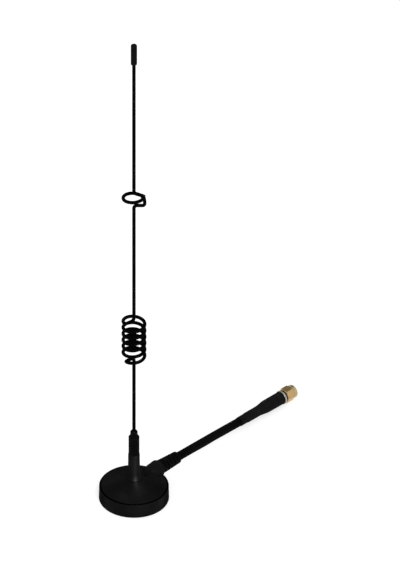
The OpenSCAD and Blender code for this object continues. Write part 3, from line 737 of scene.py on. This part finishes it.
def whipPath(v):
    def onAxis(z):
        return Vector((0, 0, z))

    def coilPoint(t):
        return polar(v["coilRadius"], v["coilAngle"] + 360 * t, v["coilLow"] + v["coilPitch"] * t)

    def loopPoint(t):
        return polar(v["loopRadius"], v["loopAngle"] + 360 * t,
                     v["loopLow"] + v["loopStep"] + v["loopPitch"] * t)

    def turns(point, first, last):
        n = math.ceil((last - first) * v["turnSteps"])
        return [point(first + (last - first) * i / n) for i in range(n + 1)]

    reach, steps = v["bendLength"], v["bendSteps"]
    n, small = v["coilTurns"], v["coilLead"]
    low, high = onAxis(v["coilLow"]), onAxis(v["coilLow"] + v["coilPitch"] * n)
    path = [onAxis(v["low"] + 2 * i) for i in range(28)]
    path += cornerBend(onAxis(v["low"]), low, coilPoint(0), reach, steps)
    path += cornerBend(low, coilPoint(0), coilPoint(small), v["turnBend"], steps)
    path += turns(coilPoint, small, n - small)
    path += cornerBend(coilPoint(n - small), coilPoint(n), high, v["turnBend"], steps)
    path += cornerBend(coilPoint(n), high, onAxis(v["high"]), reach, steps)
    path += [onAxis(126 + 4 * i) for i in range(18)]
    low = onAxis(v["loopLow"])
    foot = polar(v["loopRadius"], v["loopAngle"], v["loopLow"])
    high = onAxis(v["loopLow"] + v["loopStep"] + v["loopPitch"] + v["loopRise"])
    half = v["loopStep"] / 2
    path += cornerBend(onAxis(v["low"]), low, foot, reach, steps)
    path += cornerBend(low, foot, loopPoint(0), half, steps)
    path += cornerBend(foot, loopPoint(0), loopPoint(v["loopStart"]), half, steps)[1:]
    path += turns(loopPoint, v["loopStart"], v["loopEnd"])
    path += cornerBend(loopPoint(v["loopEnd"]), loopPoint(v["loopLast"]), high, v["turnBend"], steps)
    path += cornerBend(loopPoint(v["loopLast"]), high, onAxis(v["high"]), reach, steps)
    path += [onAxis(214 + 4 * i) for i in range(23)] + [onAxis(v["high"])]
    tidy = [path[0]]
    for p in path[1:]:
        if (p - tidy[-1]).length > 0.02:
            tidy.append(p)
    return [p * mm for p in tidy]


def makeWhip(v):
    path = whipPath(v)
    points = sweptAlong(path, v["sides"], lambda i, a: v["wireRadius"] * mm)
    faces = ringFaces(len(path), v["sides"], (True, True))
    return addMesh("whipWire", points, faces, finishes["wire"], "antenna", ["whip_wire"], 60)


makeWhip(whip)
print("whip made")


# tip cap

cap = {
    "radius": 1.75, "low": 296.8, "high": 310.0, "skirt": 0.4, "crown": 0.8, "sides": 96,
    "ringLow": 1.6, "ringDepth": 0.1, "wireRadius": 1.02,
}


def makeCap(v):
    r, low, high = v["radius"], v["low"], v["high"]
    profile = [(v["wireRadius"], low + 1.2), (v["wireRadius"], low + 0.15), (v["wireRadius"] + 0.12, low)]
    profile += rounded((r - 0.02, low), (v["wireRadius"], low), (r, low + 2), v["skirt"], 5)
    ring = low + v["ringLow"]
    profile += [(r, ring - 0.2), (r - v["ringDepth"], ring - 0.12), (r - v["ringDepth"], ring + 0.12), (r, ring + 0.2)]
    profile += [(r, low + (high - low) * t) for t in (0.4, 0.6, 0.8)]
    for i in range(0, 9):
        a = math.radians(10 * i)
        profile.append((r - v["crown"] * (1 - math.cos(a)), high - v["crown"] * (1 - math.sin(a))))
    profile += [(r - v["crown"] + 0.06, high - 0.004), (0.35, high), (0.3, high - 0.08), (0.02, high - 0.1)]
    points = turnedAboutZ(profile, v["sides"])
    faces = ringFaces(len(profile), v["sides"], (False, True))
    return addMesh("tipCap", points, faces, finishes["cap"], "antenna", ["tip_cap"], 35)


makeCap(cap)
print("cap made")


# strain relief: ribs joined by bridges that change side from groove to groove

boot = {
    "start": 19.8, "length": 14.3, "radius": 4.2, "endRadius": 3.55, "grooves": 5, "depth": 0.7,
    "height": 11.0, "bore": 2.53, "sides": 144, "grooveShare": 0.42, "bridge": 26.0,
}


def makeBoot(v):
    pitch = v["length"] / (v["grooves"] + 1)
    steps = 150
    profile = [(v["bore"] + 0.6, v["start"] - 1.5), (v["bore"] + 0.6, v["start"] - 0.02), (v["radius"] - 0.2, v["start"])]
    for i in range(steps + 1):
        y = v["length"] * (0.012 + 0.96 * i / steps)
        profile.append((v["radius"] + (v["endRadius"] - v["radius"]) * y / v["length"], v["start"] + y))
    end = v["start"] + v["length"]
    profile += [(v["endRadius"] - 0.06, end - 0.2), (v["endRadius"] - 0.22, end - 0.05), (v["endRadius"] - 0.4, end),
                (v["bore"] + 0.15, end), (v["bore"] + 0.02, end - 0.15), (v["bore"] + 0.02, end - 0.8)]

    def radiusAt(r, y, a, i):
        if i < 3 or i > steps + 3:
            return r
        along = (y - v["start"]) / pitch - 0.82
        groove = round(along)
        if not 0 <= groove < v["grooves"]:
            return r
        off = abs(along - groove) / v["grooveShare"] * 2
        if off > 1:
            return r
        wallShape = 1 - smoothStep(off, 0.72, 1.0)
        turn = math.degrees(a) + (90 if groove % 2 else 0)
        around = abs((turn + 90) % 180 - 90)
        bridge = 1 - smoothStep(around, v["bridge"] * 0.75, v["bridge"])
        return r - v["depth"] * wallShape * (1 - 0.9 * bridge)

    points = turnedAlongY(profile, v["sides"], 0, v["height"], radiusAt)
    faces = ringFaces(len(profile), v["sides"])
    return addMesh("reliefBoot", points, faces, finishes["relief"], "antenna", ["strain_relief"], 34)


makeBoot(boot)
print("boot made")


# shrunk sleeve on the lead and the crimp

plugAxis = (-6.5, 4.1)
sleeve = {
    "start": 89.8, "length": 33.0, "endRadius": 2.75, "radius": 2.95, "wideRadius": 3.75,
    "thin": 4.4, "step": 2.0, "flareStart": 14.3, "flareEnd": 22.3, "sides": 120, "steps": 132,
    "bore": 2.55, "wideBore": 3.18, "wrinkle": 0.035, "crimpFlats": 0.05,
}


def makeSleeve(v):
    n = v["steps"]
    profile = [(v["bore"], v["start"] + 1.0), (v["bore"], v["start"] + 0.06), (v["bore"] + 0.06, v["start"]),
               (v["endRadius"] - 0.06, v["start"])]
    for i in range(n + 1):
        t = v["length"] * (0.004 + 0.986 * i / n)
        r = v["endRadius"] + (v["radius"] - v["endRadius"]) * smoothStep(t, v["thin"], v["thin"] + v["step"])
        r += (v["wideRadius"] - v["radius"]) * smoothStep(t, v["flareStart"], v["flareEnd"])
        profile.append((r, v["start"] + t))
    end = v["start"] + v["length"]
    profile += [(v["wideRadius"] - 0.08, end - 0.05), (v["wideRadius"] - 0.2, end),
                (v["wideBore"] + 0.05, end), (v["wideBore"], end - 0.1), (v["wideBore"], end - 0.9)]

    def radiusAt(r, y, a, i):
        if i < 4 or i > n + 4:
            return r
        t = y - v["start"]
        # small lengthways puckers on the flare, and the crimp's flats showing through the wide part
        pucker = v["wrinkle"] * math.sin(7 * a + 0.9 * math.sin(0.5 * t)) * math.sin(math.pi * smoothStep(t, 12, 24))
        flats = v["crimpFlats"] * (1 - abs(math.cos(3 * a))) * smoothStep(t, 22, 25) * (1 - smoothStep(t, 30.5, 32))
        roll = 0.02 * math.sin(1.7 * t + 2 * a) * (1 - smoothStep(t, 20, 23))
        return r + min(0.0, pucker) - flats + min(0.0, roll)

    points = turnedAlongY(profile, v["sides"], *plugAxis, radiusAt)
    faces = ringFaces(len(profile), v["sides"])
    return addMesh("shrunkSleeve", points, faces, finishes["sleeve"], "antenna", ["shrink_sleeve"], 45)


makeSleeve(sleeve)
print("sleeve made")


# connector body: crimp stem, flange with a groove in front of it, hub and contact tube

plugBody = {
    "start": 113.55, "stemRadius": 1.85, "bore": 1.5, "flangeStart": 123.0, "flangeEnd": 124.2,
    "flangeRadius": 4.1, "edge": 0.2, "grooveRadius": 3.3, "shoulder": 125.0, "hubRadius": 2.5,
    "ringStart": 126.55, "ringEnd": 127.25, "ringRadius": 2.15, "hubEnd": 128.7,
    "tubeRadius": 2.3, "tubeWall": 0.25, "tubeEnd": 131.1, "seat": 125.0, "sides": 128,
}


def makePlugBody(v):
    r, edge = v["flangeRadius"], v["edge"]
    profile = [(v["bore"], v["start"]), (v["stemRadius"], v["start"]), (v["stemRadius"], v["flangeStart"])]
    profile += rounded((r, v["flangeStart"]), (v["stemRadius"], v["flangeStart"]), (r, v["flangeEnd"]), edge, 4)
    profile += rounded((r, v["flangeEnd"]), (r, v["flangeStart"]), (v["grooveRadius"], v["flangeEnd"]), edge, 4)
    profile += [(v["grooveRadius"], v["flangeEnd"] + 0.05), (v["grooveRadius"], v["shoulder"]),
                (v["hubRadius"], v["shoulder"]), (v["hubRadius"], v["ringStart"]), (v["ringRadius"], v["ringStart"]),
                (v["ringRadius"], v["ringEnd"]), (v["hubRadius"], v["ringEnd"]), (v["hubRadius"], v["hubEnd"]),
                (v["tubeRadius"], v["hubEnd"]),
                (v["tubeRadius"], v["tubeEnd"] - 0.1), (v["tubeRadius"] - 0.1, v["tubeEnd"]),
                (v["tubeRadius"] - v["tubeWall"], v["tubeEnd"]), (v["tubeRadius"] - v["tubeWall"], v["seat"]),
                (v["bore"], v["seat"])]
    points = turnedAlongY(profile, v["sides"], *plugAxis)
    faces = ringFaces(len(profile), v["sides"], loop=True)
    return addMesh("plugFlange", points, faces, finishes["plugBody"], "antenna", ["connector_body"], 32)


makePlugBody(plugBody)
print("connector body made")


# coupling nut: chamfered hexagon, round nose, threaded mouth

nut = {
    "start": 125.1, "hexLength": 5.2, "noseLength": 2.7, "acrossFlats": 8.0, "noseRadius": 3.9,
    "hubBore": 2.56, "mouth": 2.9, "mouthStart": 3.55, "threadPitch": 0.7, "threadDepth": 0.22,
    "chamfer": 0.42, "noseChamfer": 0.28, "noseSlope": 0.45, "edgeRound": 0.05, "sides": 360,
}


def makeNut(v):
    flat = v["acrossFlats"] / 2
    corner = flat / math.cos(math.radians(30))
    start, hexEnd = v["start"], v["start"] + v["hexLength"]
    end = hexEnd + v["noseLength"]
    nose = v["noseRadius"]
    profile = [(v["hubBore"], start + 0.3), (v["hubBore"], start + 0.12), (v["hubBore"] + 0.12, start), (flat - 0.35, start)]
    for i in range(9):
        t = i / 8
        profile.append((flat - 0.2 + (corner - flat + 0.2) * t, start + v["chamfer"] * t))
    for i in range(1, 12):
        profile.append((corner, start + v["chamfer"] + (v["hexLength"] - 2 * v["chamfer"]) * i / 12))
    for i in range(9):
        t = i / 8
        profile.append((corner + (flat - 0.12 - corner) * t, hexEnd - v["chamfer"] * (1 - t)))
    profile += [(nose - 0.14, hexEnd + 0.02), (nose - 0.16, hexEnd + 0.2), (nose, hexEnd + 0.34)]
    profile += [(nose, hexEnd + 0.34 + (v["noseLength"] - 0.34 - v["noseSlope"]) * t) for t in (0.5, 1)]
    profile += [(nose - v["noseChamfer"] * t ** 1.5, end - v["noseSlope"] * (1 - t)) for t in (0.25, 0.5, 0.75, 0.95)]
    profile += [(nose - v["noseChamfer"] - 0.06, end), (v["mouth"] + 0.4, end), (v["mouth"] + 0.34, end - 0.04),
                (v["mouth"], end - 0.4)]
    outer = len(profile)
    depth = end - 0.4 - (start + v["mouthStart"])
    threadRings = 56
    for i in range(1, threadRings + 1):
        profile.append((v["mouth"], end - 0.4 - depth * i / threadRings))
    profile += [(v["hubBore"], start + v["mouthStart"] - 0.01), (v["hubBore"], start + 1.9)]
    last = outer + threadRings

    def radiusAt(r, y, a, i):
        if outer <= i < last:
            # ridge of the thread, running out at both ends
            phase = ((y - start) / v["threadPitch"] - a / (2 * math.pi)) % 1.0
            ridge = max(0.0, 1 - abs(phase - 0.5) * 2.4)
            fade = smoothStep(i, outer, outer + 6) * (1 - smoothStep(i, last - 6, last))
            return r + v["threadDepth"] * 0.35 - v["threadDepth"] * ridge * fade
        if r <= flat or i >= outer:
            return r
        # distance out to the hexagon's side at this angle, with flats level at top and bottom
        across = (math.degrees(a) + 30) % 60 - 30
        side = flat / math.cos(math.radians(30 - abs(across))) if abs(across) <= 30 else flat
        k = v["edgeRound"]
        h = max(k - abs(side - r), 0) / k
        return min(side, r) - h * h * k * 0.25

    points = turnedAlongY(profile, v["sides"], *plugAxis, radiusAt)
    faces = ringFaces(len(profile), v["sides"])
    piece = addMesh("couplingNut", points, faces, finishes["nut"], "nut", ["coupling_nut"], 24)
    # the round nose carries a paler plating than the flats
    piece.data.materials.append(finishes["nose"])
    for face in piece.data.polygons:
        middle = face.center
        if middle.y > (hexEnd + 0.1) * mm:
            face.material_index = 1
    return piece


makeNut(nut)
print("nut made")


print("pieces made")


# stage and light

studio = {
    "floorSize": 14.0, "floorColour": (0.5, 0.5, 0.5), "floorLift": 0.58,
    "ambient": 0.55, "keyPower": 48.0, "fillPower": 22.0, "rimPower": 16.0, "topPower": 52.0, "spotPower": 1000.0, "spotAngle": 1.5,
    "cardGrey": 0.22,
}


def makeFloor(v):
    s = v["floorSize"] / 2
    floorMesh = bpy.data.meshes.new("studioFloor")
    floorMesh.from_pydata([(-s, -s, 0), (s, -s, 0), (s, s, 0), (-s, s, 0)], [], [(0, 1, 2, 3)])
    floor = bpy.data.objects.new("studioFloor", floorMesh)
    scene.collection.objects.link(floor)
    paint = bpy.data.materials.new("floorPaint")
    paint.use_nodes = True
    tree = paint.node_tree
    tree.nodes.clear()
    out = tree.nodes.new("ShaderNodeOutputMaterial")
    lit = tree.nodes.new("ShaderNodeBsdfDiffuse")
    lit.inputs["Color"].default_value = (*v["floorColour"], 1)
    glow = tree.nodes.new("ShaderNodeEmission")
    glow.inputs["Color"].default_value = (1, 1, 1, 1)
    seen = seenRays(tree)
    level = tree.nodes.new("ShaderNodeMath")
    level.operation = "MULTIPLY"
    level.inputs[1].default_value = v["floorLift"]
    tree.links.new(seen, level.inputs[0])
    tree.links.new(level.outputs[0], glow.inputs["Strength"])
    both = tree.nodes.new("ShaderNodeAddShader")
    tree.links.new(lit.outputs[0], both.inputs[0])
    tree.links.new(glow.outputs[0], both.inputs[1])
    tree.links.new(both.outputs[0], out.inputs["Surface"])
    floorMesh.materials.append(paint)
    return floor


def seenRays(tree):
    # 1 for rays that show the background itself: to the camera, in gloss, or through glass
    path = tree.nodes.new("ShaderNodeLightPath")
    first = tree.nodes.new("ShaderNodeMath")
    first.operation = "MAXIMUM"
    second = tree.nodes.new("ShaderNodeMath")
    second.operation = "MAXIMUM"
    tree.links.new(path.outputs["Is Camera Ray"], first.inputs[0])
    tree.links.new(path.outputs["Is Glossy Ray"], first.inputs[1])
    tree.links.new(first.outputs[0], second.inputs[0])
    tree.links.new(path.outputs["Is Transmission Ray"], second.inputs[1])
    return second.outputs[0]


def makeWorld(v):
    world = bpy.data.worlds.new("studioWorld")
    scene.world = world
    world.use_nodes = True
    tree = world.node_tree
    tree.nodes.clear()
    out = tree.nodes.new("ShaderNodeOutputWorld")
    soft = tree.nodes.new("ShaderNodeBackground")
    soft.inputs["Color"].default_value = (1, 1, 1, 1)
    soft.inputs["Strength"].default_value = v["ambient"]
    white = tree.nodes.new("ShaderNodeBackground")
    white.inputs["Color"].default_value = (1, 1, 1, 1)
    white.inputs["Strength"].default_value = 1.0
    mix = tree.nodes.new("ShaderNodeMixShader")
    tree.links.new(seenRays(tree), mix.inputs["Fac"])
    tree.links.new(soft.outputs[0], mix.inputs[1])
    tree.links.new(white.outputs[0], mix.inputs[2])
    tree.links.new(mix.outputs[0], out.inputs["Surface"])


def lightOnly(lamp, pieces):
    # the lamp lights the named pieces and nothing else
    lit = bpy.data.collections.new(lamp.name + "Lights")
    for piece in pieces:
        lit.objects.link(bpy.data.objects[piece])
    lamp.light_linking.receiver_collection = lit


def addLamp(name, place, aim, power, size, inGloss=True, glossOnly=False, only=()):
    data = bpy.data.lights.new(name, "AREA")
    data.energy = power
    data.size = size
    lamp = bpy.data.objects.new(name, data)
    scene.collection.objects.link(lamp)
    lamp.location = place
    lamp.rotation_euler = (Vector(aim) - Vector(place)).to_track_quat("-Z", "Y").to_euler()
    lamp.visible_glossy = inGloss
    lamp.visible_diffuse = not glossOnly
    if only:
        lightOnly(lamp, only)


def addSpot(name, place, aim, power, angle):
    # narrow lamp that only adds a sheen to the neck
    data = bpy.data.lights.new(name, "SPOT")
    data.energy = power
    data.spot_size = math.radians(angle)
    data.spot_blend = 0.5
    data.shadow_soft_size = 0.01
    lamp = bpy.data.objects.new(name, data)
    scene.collection.objects.link(lamp)
    lamp.location = place
    lamp.rotation_euler = (Vector(aim) - Vector(place)).to_track_quat("-Z", "Y").to_euler()
    lamp.visible_diffuse = False
    lightOnly(lamp, ["housingShell"])


def makeGlossCard(v):
    # dark card over the back of the set, seen only in gloss, so that top faces aren't washed out
    middle = Vector((-1.3, 1.5, 1.35))
    toward = (Vector((-0.01, 0.05, 0.05)) - middle).normalized()
    right = toward.cross(Vector((0, 0, 1))).normalized()
    up = right.cross(toward)
    card = bpy.data.meshes.new("glossCard")
    card.from_pydata([tuple(middle + right * a + up * b) for a, b in ((-1.3, -0.55), (1.3, -0.55), (1.3, 0.9), (-1.3, 0.9))],
                     [], [(0, 1, 2, 3)])
    paint = bpy.data.materials.new("cardPaint")
    paint.use_nodes = True
    tree = paint.node_tree
    tree.nodes.clear()
    out = tree.nodes.new("ShaderNodeOutputMaterial")
    glow = tree.nodes.new("ShaderNodeEmission")
    glow.inputs["Color"].default_value = (v["cardGrey"], v["cardGrey"], v["cardGrey"], 1)
    tree.links.new(glow.outputs[0], out.inputs["Surface"])
    card.materials.append(paint)
    piece = bpy.data.objects.new("glossCard", card)
    scene.collection.objects.link(piece)
    piece.visible_camera = False
    piece.visible_diffuse = False
    piece.visible_shadow = False
    piece.visible_transmission = False


makeFloor(studio)
makeWorld(studio)
makeGlossCard(studio)
addLamp("keyLamp", (1.9, -1.2, 1.9), (0, 0.03, 0.05), studio["keyPower"], 0.9)
addLamp("fillLamp", (-1.6, -1.8, 1.3), (0, 0.03, 0.08), studio["fillPower"], 1.4, inGloss=False)
addLamp("rimLamp", (0.4, 2.4, 1.6), (0, 0.03, 0.08), studio["rimPower"], 1.2, inGloss=False)
addLamp("topLamp", (0.25, 0.24, 1.969), (0, 0, 0.02), studio["topPower"], 0.5, glossOnly=True,
        only=["housingShell"])
addSpot("neckSpot", (1.09, -0.45, 0.16), (0, 0, 0.0225), studio["spotPower"], studio["spotAngle"])
scene.view_settings.view_transform = "Standard"
print("stage and light set")

print("scene built")
